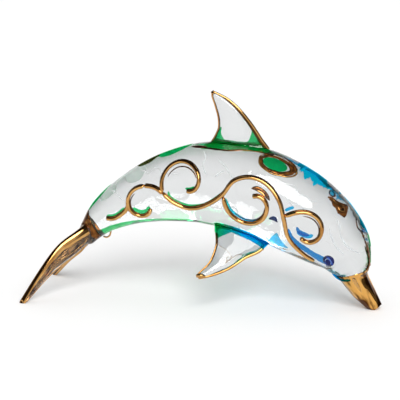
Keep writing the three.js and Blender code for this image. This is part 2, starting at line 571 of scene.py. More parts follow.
@dataclass(frozen=True)
class MilkyGlass:
    """White glass that glows by its own emission: painted light, for the fine bright threads and for the pale
    underlay of the far scroll.
    """

    tint: Tint = (0.95, 0.96, 0.97, 1)
    # Its emission is painted light: the glass glows though it is no lamp.
    painted_glow: float = 0.22

    def look(self) -> Look:
        """Builds the finish."""
        nodes = MaterialNodes("milky_glass_painted_glow", Base_Color=self.tint, Roughness=0.4, Emission_Color=self.tint,
                              Emission_Strength=self.painted_glow)
        return Look(nodes.material, Slot.CLEAR)


@dataclass(frozen=True)
class EyeGlass:
    """Glass with threads of a second colour drawn into it.

    Fields:
        name: the finish's name.
        tint: its colour.
        threads: the threads' colour.
        scale: threads for each metre.
        bend: how much they wave.
        low: the level of the pattern from which a thread shows.
    """

    name: str = "eye_glass"
    tint: Tint = (0.002, 0.006, 0.075, 1)
    threads: Tint = (0.02, 0.06, 0.30, 1)
    scale: float = 170.0
    bend: float = 5.0
    low: float = 0.6

    def look(self) -> Look:
        """Builds the finish."""
        nodes = MaterialNodes(self.name, Roughness=0.05, IOR=1.35)
        sockets = {"Vector": nodes.place(), "Scale": self.scale, "Distortion": self.bend}
        waves = nodes.add("TexWave", sockets, bands_direction="DIAGONAL")
        shown = nodes.spread(waves.outputs["Fac"], self.low, 1.0)
        nodes.feed(Base_Color=nodes.mixed(shown, self.tint, self.threads))
        return Look(nodes.material, Slot.EYE)


class Palette:
    """Every finish of the figurine, made once."""

    def __init__(self) -> None:
        """Makes the finishes."""
        green = (0.006, 0.52, 0.15, 1)
        self.clear = ClearGlass().look()
        self.milky = MilkyGlass().look()
        self.eye = EyeGlass().look()
        # A pale finish for the hook on each eye: a painted highlight.
        self.eye_painted_highlight = EyeGlass("eye_painted_highlight", (0.30, 0.42, 0.62, 1), (0.12, 0.22, 0.50, 1)).look()
        self.turning = SealedColour("green_to_blue_glass", green, (0.001, 0.46, 0.84, 1)).look()
        self.green = SealedColour("green_glass", green).look()
        self.pale_green = SealedColour("pale_green_glass", (0.05, 0.78, 0.36, 1)).look()
        self.olive = SealedColour("olive_glass", (0.07, 0.08, 0.02, 1)).look()
        self.blue = SealedColour("blue_glass", (0.0005, 0.25, 0.64, 1)).look()
        self.deep_blue = SealedColour("deep_blue_glass", (0.01, 0.03, 0.12, 1)).look()
        self.pale_blue = SealedColour("pale_blue_glass", (0.004, 0.66, 0.96, 1)).look()
        self.cyan = SealedColour("cyan_glass", (0.08, 0.55, 0.85, 1)).look()
        self.gold = Gilding().look()
        # Dark fired gilding: real brown gold in the oval rings, leaf, collar and dark lines, and painted
        # shade beside the scrolls, in the volutes and inside the fin edges.
        self.fired = Gilding("fired_gilding_and_painted_shade", (0.30, 0.11, 0.025, 1), (0.045, 0.018, 0.008, 1), 700.0,
                             shine=0.08, dull=0.3).look()
        self.rust = Gilding("rust_gilding", (0.55, 0.14, 0.05, 1), (0.16, 0.04, 0.02, 1), 700.0,
                            shine=0.08, dull=0.3).look()
        # The beak's dark streaks along its length are painted reflections of a dark surround.
        self.beak = Gilding("beak_gilding_painted_reflections", (0.72, 0.38, 0.10, 1), (0.09, 0.032, 0.008, 1), 300.0,
                            shine=0.05, dull=0.12, stretch=5.0, lean=59, low=0.47, high=0.56).look()
        self.streaked = Gilding("streaked_gilding", (0.50, 0.27, 0.11, 1), (0.07, 0.03, 0.015, 1), 420.0,
                                shine=0.1, dull=0.3, stretch=5.0, lean=-49, low=0.36, high=0.6).look()


# The forms that the glass was drawn into


def body_form() -> Form:
    """The body with its beak. Each station gives a place along X, a height and a half height."""
    stations = [
        (-0.353, 0.150, 0.024),
        (-0.324, 0.189, 0.035),
        (-0.285, 0.231, 0.051),
        (-0.215, 0.276, 0.070),
        (-0.102, 0.319, 0.097),
        (0.022, 0.337, 0.117),
        (0.151, 0.317, 0.123),
        (0.259, 0.269, 0.119),
        (0.340, 0.216, 0.103),
        (0.386, 0.170, 0.084),
        (0.409, 0.127, 0.061),
        (0.422, 0.090, 0.037),
        (0.444, 0.056, 0.030),
        (0.471, 0.021, 0.021),
        (0.484, 0.006, 0.016),
    ]
    return Form(
        axis=[Vector((sized(x), 0, sized(z))) for x, z, _ in stations],
        halves=[(sized(half), sized(half) * BODY_WIDTH_RATIO) for _, _, half in stations],
    )


def thinned(root: float, share: float) -> float:
    """Half thickness of a limb at a share of its span, for its thickness at the root."""
    tip_thinning = 0.45
    return root / 2 * (1 + (tip_thinning - 1) * share)


def dorsal_form() -> Form:
    """The dorsal fin. Each station gives a height and the places of the back and the front edge."""
    stations = [
        (0.405, -0.020, 0.205),
        (0.445, 0.009, 0.176),
        (0.465, 0.023, 0.160),
        (0.493, 0.036, 0.141),
        (0.522, 0.036, 0.119),
        (0.550, 0.029, 0.094),
        (0.575, 0.021, 0.063),
        (0.595, 0.016, 0.022),
    ]
    root = 6.0 * MM
    last = len(stations) - 1
    return Form(
        axis=[Vector((sized((back + front) / 2), 0, sized(z))) for z, back, front in stations],
        halves=[
            (sized((front - back) / 2), thinned(root, i / last))
            for i, (_, back, front) in enumerate(stations)
        ],
        chord=Vector((1, 0, 0)),
    )


def side_form(stations: Sequence[tuple[float, float, float, float]], chord: Vector, root: float,
              side: int, drop: float = 0.0) -> Form:
    """A flipper or a fluke.

    Args:
        stations: a place along X, a place out from the middle, a height and a half chord.
        chord: the direction across the limb.
        root: its thickness at the root.
        side: LEFT or RIGHT.
        drop: how far its middle sags.

    Returns:
        The form.
    """
    last = len(stations) - 1
    return Form(
        axis=[
            Vector((sized(x), side * sized(y), sized(z) - drop * math.sin(math.pi * i / last)))
            for i, (x, y, z, _) in enumerate(stations)
        ],
        halves=[(sized(half), thinned(root, i / last)) for i, (_, _, _, half) in enumerate(stations)],
        chord=chord,
    )


def flipper_form(side: int) -> Form:
    """One flipper."""
    stations = [
        (0.119, 0.040, 0.232, 0.090),
        (0.106, 0.075, 0.192, 0.066),
        (0.092, 0.097, 0.171, 0.045),
        (0.063, 0.128, 0.136, 0.026),
        (0.013, 0.157, 0.108, 0.009),
    ]
    return side_form(stations, Vector((0.93, 0, -0.36)), 5.0 * MM, side)


def fluke_form(side: int) -> Form:
    """One fluke. The left one sags a little more."""
    stations = [
        (-0.325, 0.006, 0.188, 0.030),
        (-0.360, 0.043, 0.157, 0.041),
        (-0.409, 0.082, 0.118, 0.044),
        (-0.450, 0.121, 0.064, 0.033),
        (-0.493, 0.157, -0.003, 0.013),
    ]
    drop = 1.6 * MM if side == LEFT else 0.0
    return side_form(stations, Vector((-0.28, 0, -0.96)), 5.4 * MM, side, drop)


@dataclass
class Skin:
    """Finds places on the body's surface.

    A place is given by its share along the body and by its turn: 0 on the back, 90 degrees on the right
    flank, 180 on the belly and below 0 on the left flank.
    """

    form: Form = field(default_factory=body_form)
    samples: int = 400

    def __post_init__(self) -> None:
        """Keeps the body's sections for the search."""
        self.sections = self.form.rings(self.samples)

    def at(self, along: float, turn: float, lift: float) -> Place:
        """A point over the surface.

        Args:
            along: share along the body.
            turn: the turn in degrees.
            lift: height over the surface.

        Returns:
            The point and the direction out of the glass.
        """
        ring = self.form.ring(along)
        angle = math.radians(turn)
        up, out = math.cos(angle) / ring.half_first, math.sin(angle) / ring.half_second
        normal = (ring.first * up + ring.second * out).normalized()
        return ring.point(angle) + normal * lift, normal

    def holds(self, point: Vector) -> bool:
        """Whether a point lies in the body."""
        ring = min(self.sections, key=lambda section: (section.centre - point).length_squared)
        out = point - ring.centre
        level, across = out.dot(ring.first) / ring.half_first, out.dot(ring.second) / ring.half_second
        return level * level + across * across < 1

    def seen(self, x: float, z: float, side: int, lift: float, squeezed: bool = True) -> Place:
        """A point over one flank, found from a place seen from the side.

        Args:
            x: share along X.
            z: share of height.
            side: LEFT or RIGHT.
            lift: height over the surface.
            squeezed: whether the left flank's place is moved up, as its scroll is.

        Returns:
            The point and the direction out of the glass.
        """
        steepest = 0.98
        flat = Vector((sized(x), 0, sized(z))) + CENTRING
        index = min(range(1, self.samples - 1), key=lambda i: (self.sections[i].centre - flat).length_squared)
        ahead = self.sections[index + 1].centre - self.sections[index - 1].centre
        index += 2 * (flat - self.sections[index].centre).dot(ahead) / ahead.length_squared
        along = index / (self.samples - 1)
        ring = self.form.ring(along)
        rise = (flat - ring.centre).dot(ring.first) / ring.half_first
        if side == LEFT:
            rise = LEFT_SCROLL_RISE + LEFT_SCROLL_SQUEEZE * rise if squeezed else rise - LEFT_EYE_DROP
        turn = math.degrees(math.acos(max(-steepest, min(steepest, rise))))
        return self.at(along, -side * turn, lift)


@dataclass
class GlassBody:
    """The clear glass: body, fins, flippers and flukes drawn from one gather and fused.

    Fields:
        voxel: the grid that fuses the forms.
        smoothing: how often the fused surface is smoothed into soft fillets.
        wave_height: the height of the hand-drawn waves.
        wave_length: their length.
    """

    voxel: float = 0.46 * MM
    smoothing: int = 10
    wave_height: float = 0.16 * MM
    wave_length: float = 11 * MM

    def rough_mesh(self) -> bpy.types.Mesh:
        """The overlapping closed forms, fused by a voxel remesh."""
        mesh = bmesh.new()
        closed_form(mesh, body_form().rings(150, rounding=0.015), 72)
        limbs = [make(side) for side in (LEFT, RIGHT) for make in (flipper_form, fluke_form)]
        for form in [dorsal_form(), *limbs]:
            closed_form(mesh, form.rings(50, rounding=0.04), 40)
        bmesh.ops.recalc_face_normals(mesh, faces=mesh.faces)
        data = mesh_data("rough", mesh)
        rough = in_scene("rough", data)
        remesh = rough.modifiers.new("fuse", "REMESH")
        remesh.mode = "VOXEL"
        remesh.voxel_size = self.voxel
        bpy.context.view_layer.update()
        fused = bpy.data.meshes.new_from_object(rough.evaluated_get(bpy.context.evaluated_depsgraph_get()))
        bpy.data.objects.remove(rough)
        bpy.data.meshes.remove(data)
        return fused

    def build(self, look: Look) -> None:
        """Builds the fused glass with its soft fillets, waves and ground feet."""
        fused = self.rough_mesh()
        mesh = bmesh.new()
        mesh.from_mesh(fused)
        bpy.data.meshes.remove(fused)
        for _ in range(self.smoothing):
            bmesh.ops.smooth_vert(
                mesh, verts=mesh.verts, factor=0.5, use_axis_x=True, use_axis_y=True, use_axis_z=True)
        mesh.normal_update()
        for vert in mesh.verts:
            vert.co += vert.normal * sway(self.wave_height, *(vert.co / self.wave_length))
        finished("fused_glass", mesh, look, ["glass_body"])


# The gilded scrolls and the eyes


@dataclass(frozen=True)
class Volute:
    """A spiral seen from the side.

    Fields:
        centre: its middle.
        outer: its first radius.
        inner: its last radius.
        fall: how late the radius falls.
        start: its first angle in degrees.
        end: its last angle.
    """

    centre: Pair
    outer: float
    inner: float
    fall: float
    start: float
    end: float

    def points(self, count: int = 40, shrink: float = 1.0, until: float = 1.0) -> list[Pair]:
        """The spiral's points, as shares of the figurine's length.

        Args:
            count: how many steps.
            shrink: a factor on the radius, for an echo inside the cane.
            until: share of the spiral where the points end.

        Returns:
            Places along X and up.
        """
        x, z = self.centre
        found = []
        for i in range(count + 1):
            share = i / count * until
            radius = between(self.outer, self.inner, share ** self.fall) * shrink
            angle = math.radians(between(self.start, self.end, share))
            found.append((x + radius * math.cos(angle), z + radius * math.sin(angle)))
        return found


TAIL_START = [(-0.272, 0.233), (-0.252, 0.233), (-0.231, 0.244), (-0.206, 0.269), (-0.204, 0.288)]
TAIL_LINK = [(-0.100, 0.322), (-0.114, 0.332), (-0.131, 0.337), (-0.156, 0.337)]
STEM = [
    (-0.101, 0.324), (-0.066, 0.297), (-0.024, 0.285), (0.021, 0.297), (0.072, 0.332), (0.102, 0.370),
    (0.145, 0.381), (0.192, 0.364), (0.228, 0.320), (0.241, 0.272), (0.254, 0.215), (0.291, 0.169),
    (0.320, 0.148),
]
VOLUTES = [
    Volute((-0.163, 0.280), 0.058, 0.026, 0.62, 82, 343),
    Volute((-0.034, 0.353), 0.071, 0.017, 1.42, -156, -436),
    Volute((0.156, 0.311), 0.083, 0.019, 0.87, 169, 452),
    Volute((0.303, 0.236), 0.077, 0.022, 0.56, 144, -137),
]
SCROLL = [TAIL_START, TAIL_LINK, STEM, *[volute.points() for volute in VOLUTES]]
HOOK = [(-0.281, 0.187), (-0.2845, 0.167), (-0.288, 0.155), (-0.297, 0.1495), (-0.307, 0.152)]
SCROLL_COLOURS = [  # half widths in millimetres, and places
    (0.75, [(-0.270, 0.240), (-0.249, 0.242), (-0.229, 0.254), (-0.213, 0.270)]),
    (0.95, [(-0.190, 0.272), (-0.176, 0.262), (-0.160, 0.261), (-0.146, 0.268), (-0.141, 0.280)]),
    (0.60, [
        (-0.083, 0.330), (-0.080, 0.317), (-0.064, 0.305), (-0.044, 0.297), (-0.022, 0.293), (0.018, 0.300),
        (0.048, 0.318), (0.073, 0.341),
    ]),
    (0.50, [(-0.034, 0.342), (-0.020, 0.343), (-0.006, 0.349)]),
    (0.60, [(0.081, 0.323), (0.092, 0.294), (0.119, 0.270), (0.146, 0.262), (0.175, 0.269), (0.195, 0.289)]),
    (0.60, [(0.244, 0.297), (0.255, 0.303), (0.268, 0.307)]),
    (0.80, [(0.276, 0.240), (0.285, 0.233), (0.296, 0.228), (0.308, 0.226), (0.320, 0.231)]),
]
EYE_PLACE = (0.359, 0.154)


@dataclass
class ScrollTrail:
    """The gilded cane laid in scrolls on one flank, with the colour that shows beside it.

    Fields:
        side: LEFT or RIGHT.
        skin: the body's surface.
        half_width: the cane's half width.
        half_height: its half thickness.
        lift: how high its middle lies over the surface.
        step: the distance between its sections.
    """

    side: int
    skin: Skin
    half_width: float = 0.74 * MM
    half_height: float = 0.72 * MM
    lift: float = 0.2 * MM
    step: float = 0.55 * MM

    def laid(self, places: Sequence[Pair], lift: float, half_out: float, half_across: float,
             rounding: float = 0.04) -> list[Ring]:
        """One cane along places seen from the side.

        Args:
            places: the places.
            lift: how high its middle lies over the surface.
            half_out: its half thickness.
            half_across: its half width.
            rounding: share of its run over which each end is rounded off.

        Returns:
            Its sections.
        """
        control = [Vector((x, 0, z)) for x, z in places]
        fine = curve(control, 100)
        run = sum((b - a).length for a, b in zip(fine, fine[1:])) * LENGTH
        spots = curve(control, max(int(run / self.step), 12))
        found = [self.skin.seen(spot.x, spot.z, self.side, lift) for spot in spots]
        return strand(found, half_out, [half_across] * len(found), rounding)

    def gold(self, look: Look) -> None:
        """Builds the stem, its tail end and the four volutes as one gilded cane."""
        mesh = bmesh.new()
        for places in SCROLL:
            closed_form(mesh, self.laid(places, self.lift, self.half_height, self.half_width), 14)
        if self.side == LEFT:
            closed_form(mesh, self.hook(), 12)
        finished(sided("gilded_scroll", self.side), mesh, look, [sided("scroll_trail", self.side)])

    def hook(self) -> list[Ring]:
        """The small free curl of gold that hangs under the belly near the tail."""
        beside = 6.0 * MM
        control = [Vector((sized(x), beside, sized(z))) for x, z in HOOK]
        places = [(spot, Vector((0, 1, 0))) for spot in curve(control, 30)]
        return strand(places, 0.3 * MM, [0.34 * MM] * len(places), 0.1)

    def layer(self, name: str, look: Look, lift: float, half_out: float, wider: float,
              up: float = 0.0) -> None:
        """Lays a second cane along the whole scroll.

        Args:
            name: the start of the piece's name.
            look: its finish.
            lift: how high its middle lies over the surface.
            half_out: its half thickness.
            wider: how far it reaches beyond the gilded cane on each side.
            up: how far it is moved up the flank, as a share of LENGTH.
        """
        runs = [
            self.laid([(x, z + up) for x, z in places], lift, half_out, self.half_width + wider)
            for places in SCROLL
        ]
        canes(sided(name, self.side), runs, 12, look)

    def colour(self, look: Look) -> None:
        """Builds the green and blue glass on the scroll's upper side."""
        runs = [self.laid(places, -0.34 * MM, 0.28 * MM, half * MM, 0.2) for half, places in SCROLL_COLOURS]
        canes(sided("scroll_colour", self.side), runs, 12, look)

    def echo(self, look: Look) -> None:
        """Builds the thin dark line of fired gilding inside each volute, under the skin: painted shade of the
        cane.
        """
        skipped = 7
        inside = [volute.points(30, 0.82, 0.62)[skipped:] for volute in VOLUTES]
        runs = [self.laid(places, -0.36 * MM, 0.14 * MM, 0.27 * MM, 0.35) for places in inside]
        # Dark lines inside the volutes: painted shade.
        canes(sided("scroll_echo_painted_shade", self.side), runs, 8, look)

    def build(self, palette: Palette) -> None:
        """Builds the trail, with a painted dark reflection along its upper edge, and glowing milky glass
        under the far one: painted light that keeps it pale.
        """
        self.gold(palette.gold)
        # A wider cane of dark fired gilding moved up the flank: a painted dark reflection along the trail's
        # upper edge.
        self.layer("scroll_painted_shade", palette.fired, 0.0, 0.36 * MM, 0.1 * MM, 0.0026)
        if self.side == LEFT:
            # Glowing milky glass under the far scroll: painted light that keeps it pale where it is seen
            # through the body.
            milky = Look(palette.milky.material, Slot.COLOUR)
            self.layer("scroll_painted_light_underlay", milky, -0.6 * MM, 0.42 * MM, 0.16 * MM)
        self.colour(palette.turning)
        self.echo(palette.fired)


@dataclass
class Eye:
    """A flattened bead of dark glass on the head, as a dome whose hollow base lies on the skin.

    Fields:
        side: LEFT or RIGHT.
        skin: the body's surface.
        radius: the bead's radius.
        height: its height.
        sink: how far its rim lies lower than its middle.
    """

    side: int
    skin: Skin
    radius: float = 2.4 * MM
    height: float = 0.85 * MM
    sink: float = 0.26 * MM

    def bead(self, look: Look) -> None:
        """Builds the bead."""
        point, normal = self.skin.seen(*EYE_PLACE, self.side, 0.05 * MM, squeezed=False)
        mesh = bmesh.new()
        made = bmesh.ops.create_uvsphere(mesh, u_segments=40, v_segments=24, radius=self.radius)
        squash = self.height / self.radius
        turn = normal.to_track_quat("Z", "Y").to_matrix()
        for vert in made["verts"]:
            spread = vert.co.xy.length_squared / self.radius ** 2
            vert.co.z = max(vert.co.z, 0.0) * squash - spread * self.sink
            vert.co = turn @ vert.co + point
        finished(sided("eye_bead", self.side), mesh, look, [sided("eye", self.side)])

    def swirl(self, look: Look) -> None:
        """Builds the pale hook with a short tail laid on the bead: a painted highlight."""
        steps = 40
        point, normal = self.skin.seen(*EYE_PLACE, self.side, 0.0, squeezed=False)
        turn = normal.to_track_quat("Z", "Y").to_matrix()
        places = []
        for i in range(steps + 1):
            share = i / steps
            angle = math.radians(between(-60, 190, share))
            part = between(0.62, 0.40, share)
            reach = self.radius * part
            level = self.height * math.sqrt(1 - part ** 2) - self.sink * part ** 2
            spot = Vector((reach * math.cos(angle), reach * math.sin(angle), level))
            places.append((turn @ spot + point, normal))
        run = strand(places, 0.1 * MM, [0.14 * MM] * len(places), 0.3)
        # The pale hook is a painted highlight on the dark bead.
        canes(sided("eye_painted_highlight_swirl", self.side), [run], 10, look)


# Gilding on the beak, the stock and the fins


@dataclass
class GildedRims:
    """Gilding on the beak, round the tail stock and along the edges of the fins."""

    palette: Palette
    skin: Skin
    lift: float = 0.14 * MM

    def beak(self) -> None:
        """The gilded beak, from the forehead's step to its blunt end, with ridges drawn along it."""
        first_station = 10.55
        along_beak, across_beak = 0.515, 0.857  # cosine and sine of its lean
        form = body_form()
        rings = form.rings(60, first_station / (len(form.axis) - 1), lift=self.lift)
        mesh = bmesh.new()
        closed_form(mesh, rings, 64)
        mesh.normal_update()
        for vert in mesh.verts:
            run = along_beak * vert.co.x - across_beak * vert.co.z
            rise = across_beak * vert.co.x + along_beak * vert.co.z
            ridge = sway(0.34 * MM, run / (14 * MM), rise / (1.5 * MM), vert.co.y / (1.8 * MM))
            vert.co += vert.normal * ridge
        # Its finish paints dark streaks along the beak: painted reflections.
        finished("gilded_beak", mesh, self.palette.beak)

    def edge(self, name: str, form: Form, angle: float, start: float, radius: float, tip_radius: float,
             inset: float = 0.0) -> None:
        """A bead of gold along one edge of a fin, or the dark line just inside it, which is painted shade.

        Args:
            name: the piece's name.
            form: the fin.
            angle: 0 for the edge along the chord's direction, pi for the other.
            start: share of the span where it starts.
            radius: the bead's radius at the root.
            tip_radius: its radius at the tip.
            inset: how far inside the edge it lies. An inset line is dark fired gilding: painted shade.
        """
        last = 60
        embedded = 0.97  # the bead's middle lies just inside the edge
        turning_in = 52  # from this section the beads of both edges run towards each other
        roundness = 68
        spots = form.rings(last + 1, start)
        points = []
        for i, ring in enumerate(spots):
            reach = embedded * math.sqrt(1 - max(i - turning_in, 0) ** 2 / roundness)
            points.append(ring.centre + (ring.point(angle, -inset) - ring.centre) * reach)
        rings = []
        for i, (ring, point) in enumerate(zip(spots, points)):
            tangent = (points[min(i + 1, last)] - points[max(i - 1, 0)]).normalized()
            first = tangent.cross(ring.second).normalized()
            size = between(radius, tip_radius, i / last)
            rings.append(Ring(point, first, tangent.cross(first).normalized(), size, size))
        # An inset line takes the dark fired finish: painted shade just inside the glass edge.
        canes(name, [rings], 14, self.palette.fired if inset else self.palette.gold)

    def tip(self, name: str, form: Form, start: float) -> None:
        """The gilded tip of a fin, where the beads along its edges meet.

        Args:
            name: the piece's name.
            form: the fin.
            start: share of the span where the tip starts.
        """
        canes(name, [form.rings(16, start, 0.5, self.lift)], 24, self.palette.gold)

    def fluke_band(self, side: int) -> None:
        """The broad gold band over one fluke's upper edge."""
        form = fluke_form(side)

        def place(share: float, across: float) -> Vector:
            """A point of the band, which narrows towards the tip."""
            spread = between(1.24, 0.86, share) + sway(0.10, share * 7, side, 0)
            return form.ring(between(0.05, 1.0, share)).point(math.pi + (across * 2 - 1) * spread, self.lift)

        film(sided("gilded_fluke_band", side), 90, 26, place, 0.25 * MM, self.palette.gold)

    def fluke_heart(self, side: int) -> None:
        """The streaked gilding sealed in one fluke, under its clear lower rim."""
        form = fluke_form(side)
        upper = -0.55
        reach = 1.28

        def place(share: float, across: float) -> Vector:
            """A point of the sheet, which ripples inside the glass, less towards the tip."""
            ring = form.ring(between(0.04, 0.97, share))
            level = upper + (reach + sway(0.16, share * 11, side, 4)) * across
            ripple = sway(0.5 * MM, share * 10, across * 6, side) * between(1.0, 0.4, share)
            return ring.centre + ring.first * (ring.half_first * level) + ring.second * ripple

        film(sided("fluke_heart", side), 80, 20, place, 0.16 * MM, self.palette.streaked)

    def fluke_streaks(self, side: int) -> None:
        """Drawn streaks of gold that lie over the heart of one fluke: level, start, end and half width."""
        streaks = ((-0.12, 0.10, 0.60, 0.40), (0.30, 0.04, 0.74, 0.45), (0.74, 0.20, 0.92, 0.40))
        last = 60
        depth = 0.45
        form = fluke_form(side)
        runs = []
        for level, start, end, half in streaks:
            places = []
            for i in range(last + 1):
                share = between(start, end, i / last)
                ring = form.ring(share)
                drift = level + 0.10 * math.sin(share * 17 + level * 9)
                point = ring.centre + ring.first * (ring.half_first * drift)
                point += ring.second * (ring.half_second * depth * -side)
                places.append((point, ring.second))
            widths = [half * MM * (0.6 + sway(0.6, i / 7, level, side)) for i in range(last + 1)]
            runs.append(strand(places, 0.2 * MM, widths, 0.25))
        canes(sided("fluke_streaks", side), runs, 10, self.palette.gold)

    def collar(self) -> None:
        """The dark gilding over the tail stock, where the flukes join it."""
        start = 0.055
        shortest, longer = 0.020, 0.040

        def place(share: float, across: float) -> Vector:
            """A point of the collar, which is longer on the back than on the belly."""
            turn = between(-150, 150, across)
            reach = shortest + longer * math.cos(math.radians(turn) / 2) ** 2
            reach *= 1 + sway(0.12, across * 9, 0, 3)
            return self.skin.at(start + reach * share, turn, self.lift)[0]

        film("gilded_collar", 14, 72, place, 0.25 * MM, self.palette.fired)

    def build(self) -> None:
        """Gilds the beak, the stock and every fin's edges."""
        front, back = 0.0, math.pi
        dorsal = dorsal_form()
        self.beak()
        self.collar()
        self.edge("gilded_dorsal_front", dorsal, front, 0.12, 0.62 * MM, 0.5 * MM)
        self.edge("gilded_dorsal_back", dorsal, back, 0.14, 0.34 * MM, 0.42 * MM)
        self.edge("dorsal_front_painted_shade", dorsal, front, 0.12, 0.55 * MM, 0.14 * MM, 1.25 * MM)
        self.edge("dorsal_back_painted_shade", dorsal, back, 0.14, 0.36 * MM, 0.12 * MM, 0.6 * MM)
        self.tip("gilded_dorsal_tip", dorsal, 0.955)
        for side in (LEFT, RIGHT):
            flipper, fluke = flipper_form(side), fluke_form(side)
            self.tip(sided("gilded_flipper_tip", side), flipper, 0.93)
            self.tip(sided("gilded_fluke_tip", side), fluke, 0.93)
            self.edge(sided("gilded_flipper_front", side), flipper, front, 0.18, 0.7 * MM, 0.5 * MM)
            self.edge(sided("gilded_flipper_back", side), flipper, back, 0.25, 0.32 * MM, 0.3 * MM)
            self.edge(sided("flipper_back_painted_shade", side), flipper, back, 0.25, 0.4 * MM, 0.12 * MM, 0.6 * MM)
            self.edge(sided("gilded_fluke_under", side), fluke, front, 0.1, 0.6 * MM, 0.5 * MM)
            self.fluke_band(side)
            self.fluke_heart(side)
            self.fluke_streaks(side)


# The colour sealed in the glass

# Shares along the body are made larger by this, so that a curve through stops runs evenly
ALONG_WEIGHT = 10


@dataclass(frozen=True)
class Patch:
    """A thin sheet of colour just under the skin.

    Fields:
        name: the piece's name.
        stops: share along the body, and the turns in degrees where the sheet starts and ends.
        ragged: how far its second edge wanders, in degrees.
        depth: how far it lies under the surface.
    """

    name: str
    stops: tuple[Triple, ...]
    ragged: float = 0.0
    depth: float = 0.22 * MM

    def build(self, skin: Skin, look: Look) -> None:
        """Builds the sheet."""
        control = [
            Vector((along * ALONG_WEIGHT, math.radians(low), math.radians(high)))
            for along, low, high in self.stops
        ]

        def place(share: float, across: float) -> Vector:
            """A point of the sheet."""
            stop = catmull(control, share)
            wander = sway(self.ragged, share * 14, 1.7, 0.3) + sway(self.ragged * 0.6, share * 41, 5.2, 0.9)
            turn = between(math.degrees(stop.y), math.degrees(stop.z) + wander, across)
            return skin.at(stop.x / ALONG_WEIGHT, turn, -self.depth)[0]

        film(self.name, 80, 14, place, 0.3 * MM, look)


@dataclass(frozen=True)
class Streak:
    """A cane of colour drawn out just under the skin.

    Fields:
        name: the piece's name.
        stops: share along the body, turn in degrees and half width in millimetres.
        depth: how far its middle lies under the surface.
        half_out: its half thickness.
        ragged: how much its width wanders, as a share.
    """

    name: str
    stops: tuple[Triple, ...]
    depth: float = 0.5 * MM
    half_out: float = 0.35 * MM
    ragged: float = 0.0

    def build(self, skin: Skin, look: Look) -> None:
        """Builds the cane."""
        half_weight = 0.1
        control = [
            Vector((along * ALONG_WEIGHT, math.radians(turn), half * half_weight))
            for along, turn, half in self.stops
        ]
        spots = curve(control, 18 * len(control))
        places = [skin.at(spot.x / ALONG_WEIGHT, math.degrees(spot.y), -self.depth) for spot in spots]
        widths = [
            spot.z / half_weight * MM * (1 + sway(self.ragged, i / 3, spot.x, 0))
            for i, spot in enumerate(spots)
        ]
        canes(self.name, [strand(places, self.half_out, widths, 0.12)], 12, look)


@dataclass
class SealedOval:
    """A drop of colour with gilded rings, sealed under the skin of the right side.

    Its middle is a place on the skin. Metres beside it become shares by the body's length and turns by the
    body's radius there, which are per_along and per_turn.
    """

    skin: Skin
    name: str = "oval"
    along: float = 0.4405
    turn: float = 27.0
    half_length: float = 5.4 * MM
    half_width: float = 3.45 * MM
    depth: float = 0.8 * MM
    per_along: float = 328 * MM
    per_turn: float = 17.2 * MM

    def place(self, across: float, up: float, depth: float) -> Place:
        """A point under the skin, at distances along the body and up from the oval's middle."""
        turn = self.turn - math.degrees(up / self.per_turn)
        return self.skin.at(self.along + across / self.per_along, turn, -depth)

    def drop(self, look: Look) -> None:
        """The drop."""
        half_thickness = 0.4 * MM
        mesh = bmesh.new()
        made = bmesh.ops.create_uvsphere(mesh, u_segments=48, v_segments=20, radius=1.0)
        for vert in made["verts"]:
            depth = self.depth - vert.co.z * half_thickness
            vert.co, _ = self.place(vert.co.x * self.half_length, vert.co.y * self.half_width, depth)
        finished(f"{self.name}_drop", mesh, look)

    def ring(self, name: str, grow: float, half: float, shift: float, look: Look) -> None:
        """A gilded ring round the drop.

        Args:
            name: the end of the piece's name.
            grow: how far it stands off the drop.
            half: its half width.
            shift: how far it is drawn out towards the head.
            look: its finish.
        """
        steps = 96
        over_drop = 0.1 * MM
        places, widths = [], []
        for i in range(steps + 1):
            angle = 2 * math.pi * i / steps
            cosine, sine = math.cos(angle), math.sin(angle)
            forward = max(cosine, 0)
            reach = 1 + sway(0.06, cosine * 2, sine * 2, grow * 900)
            across = (self.half_length + grow) * cosine * reach + shift * forward ** 2
            up = (self.half_width + grow) * sine * reach
            places.append(self.place(across, up, self.depth - over_drop))
            widths.append(half * (1 + 0.55 * forward))
        canes(f"{self.name}_{name}", [strand(places, 0.3 * MM, widths, 0.0)], 12, look)


# Threads of glowing milky glass: painted light for the bright wavy lines in the clear glass.
PAINTED_LIGHT_THREADS = (  # share along the body and turn in degrees
    ((0.350, 27), (0.354, 40), (0.352, 53), (0.358, 66)),
    ((0.370, 42), (0.380, 51), (0.388, 60), (0.397, 68)),
    ((0.370, 68), (0.377, 61), (0.383, 58)),
    ((0.256, 24), (0.262, 36), (0.272, 46), (0.281, 40), (0.288, 45), (0.294, 56), (0.303, 58), (0.316, 62)),
    ((0.196, 34), (0.207, 52), (0.214, 74), (0.226, 92)),
    ((0.452, 58), (0.466, 49), (0.478, 46), (0.490, 54), (0.500, 49), (0.512, 52), (0.526, 44)),
    ((0.476, 66), (0.488, 70), (0.500, 64), (0.514, 69)),
    ((0.560, 46), (0.582, 52), (0.602, 62), (0.628, 66), (0.654, 60), (0.676, 48)),
    ((0.566, 66), (0.590, 76), (0.620, 82), (0.650, 80)),
    ((0.392, 112), (0.402, 104), (0.412, 108), (0.408, 118), (0.397, 120)),
)


